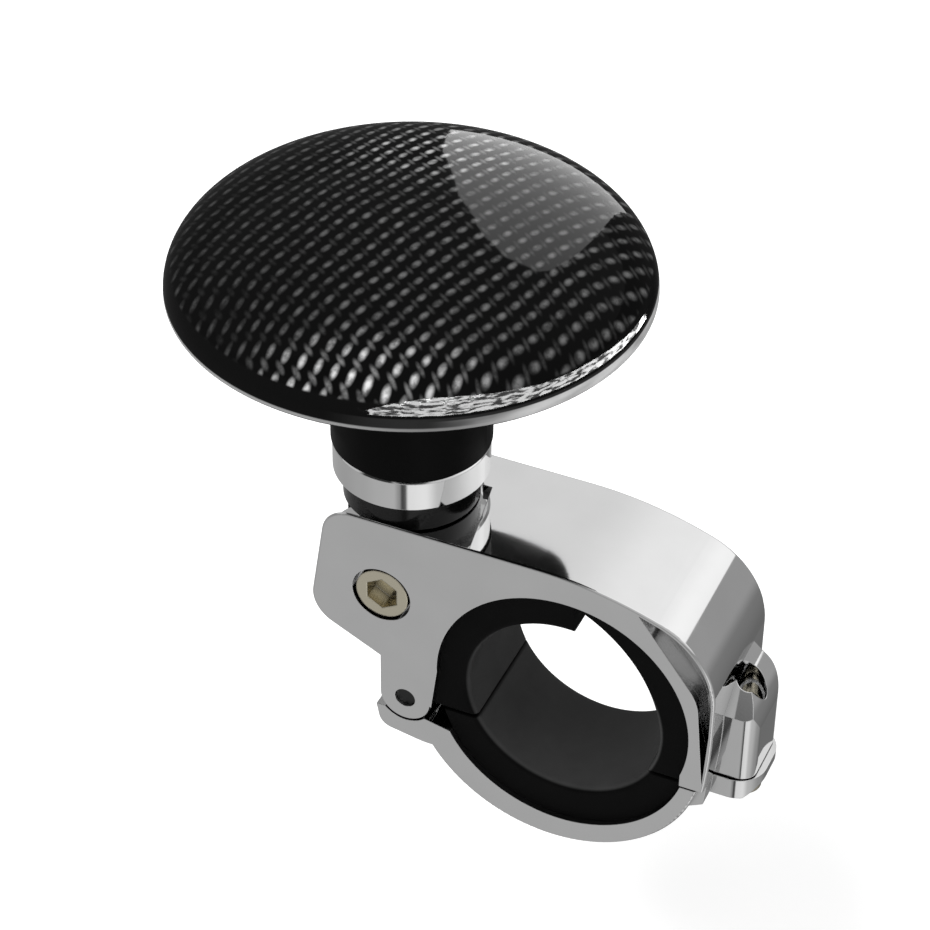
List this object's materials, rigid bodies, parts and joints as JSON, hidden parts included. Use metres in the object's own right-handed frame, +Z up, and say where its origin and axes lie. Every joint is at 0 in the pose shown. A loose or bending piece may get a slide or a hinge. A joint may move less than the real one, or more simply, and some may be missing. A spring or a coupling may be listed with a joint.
{
  "type": "steering wheel spinner knob",
  "caption": "Round knob on a folding post with a hinged clamp for a steering wheel rim, rubber-lined jaws, chromed metal and a domed carbon-pattern grip.",
  "frame": {"origin": "centre of the clamp's bore, halfway along it", "axes": "+Y along the bore, +Z up along the knob's axis, the knob on the -X side and the clamp screw on the +X side"},
  "size_m": [0.0857, 0.0636, 0.0928],
  "materials": {
    "upper_chrome": "bright plated, a little soft on the flat faces",
    "lower_chrome": "bright plated",
    "ring_chrome": "mirror polished",
    "rubber": "matt black with moulding grain",
    "black_gloss": "gloss black",
    "black_plastic": "matt black",
    "carbon_gloss": "clear gloss over a dark woven carbon pattern",
    "nickel": "warm nickel plate",
    "dark_steel": "dark oiled steel",
    "plain_steel": "ground steel",
    "bright_steel": "polished bearing steel",
    "cage_brass": "pressed brass"
  },
  "bodies": {
    "clamp_frame": {"upper_jaw": "upper_chrome", "upper_liner": "rubber", "hinge_pin": "dark_steel", "pivot_screw": "nickel", "pivot_nut": "nickel", "front_fold_washer": "plain_steel", "rear_fold_washer": "plain_steel"},
    "stem_arm": {"stem": "black_gloss", "chrome_ring": "ring_chrome", "bearing_inner_race": "bright_steel", "spindle_screw": "dark_steel", "spindle_washer": "plain_steel"},
    "knob": {"knob_base": "black_plastic", "knob_dome": "carbon_gloss", "bearing_outer_race": "bright_steel", "retaining_ring": "dark_steel"},
    "ball_set": {"bearing_balls": "bright_steel", "ball_cage": "cage_brass"},
    "jaw": {"lower_jaw": "lower_chrome", "lower_liner": "rubber"},
    "lock_washer": {"clamp_washer": "plain_steel"},
    "lock_screw": {"clamp_screw": "nickel"}
  },
  "joints": [
    {"name": "knob_fold", "type": "hinge", "parent": "clamp_frame", "child": "stem_arm", "pos_m": [-0.0267, 0, 0.0117], "axis": [0, -1, 0], "range_deg": [0, 90]},
    {"name": "knob_spin", "type": "hinge", "parent": "stem_arm", "child": "knob", "pos_m": [-0.0267, 0, 0.037], "axis": [0, 0, 1], "continuous": true},
    {"name": "ball_orbit", "type": "hinge", "parent": "stem_arm", "child": "ball_set", "pos_m": [-0.0267, 0, 0.037], "axis": [0, 0, 1], "continuous": true},
    {"name": "jaw_open", "type": "hinge", "parent": "clamp_frame", "child": "jaw", "pos_m": [-0.0232, 0, -0.006], "axis": [0, 1, 0], "range_deg": [0, 60]},
    {"name": "screw_travel", "type": "slide", "parent": "jaw", "child": "lock_washer", "axis": [0, 0, -1], "range_m": [0, 0.006]},
    {"name": "screw_turn", "type": "hinge", "parent": "lock_washer", "child": "lock_screw", "pos_m": [0.0234, 0, -0.0096], "axis": [0, 0, -1], "range_deg": [0, 4320]}
  ],
  "couplings": [
    {"joint": "ball_orbit", "follows": "knob_spin", "ratio": 0.6111},
    {"joint": "screw_turn", "follows": "screw_travel", "rad_per_m": 12566}
  ]
}
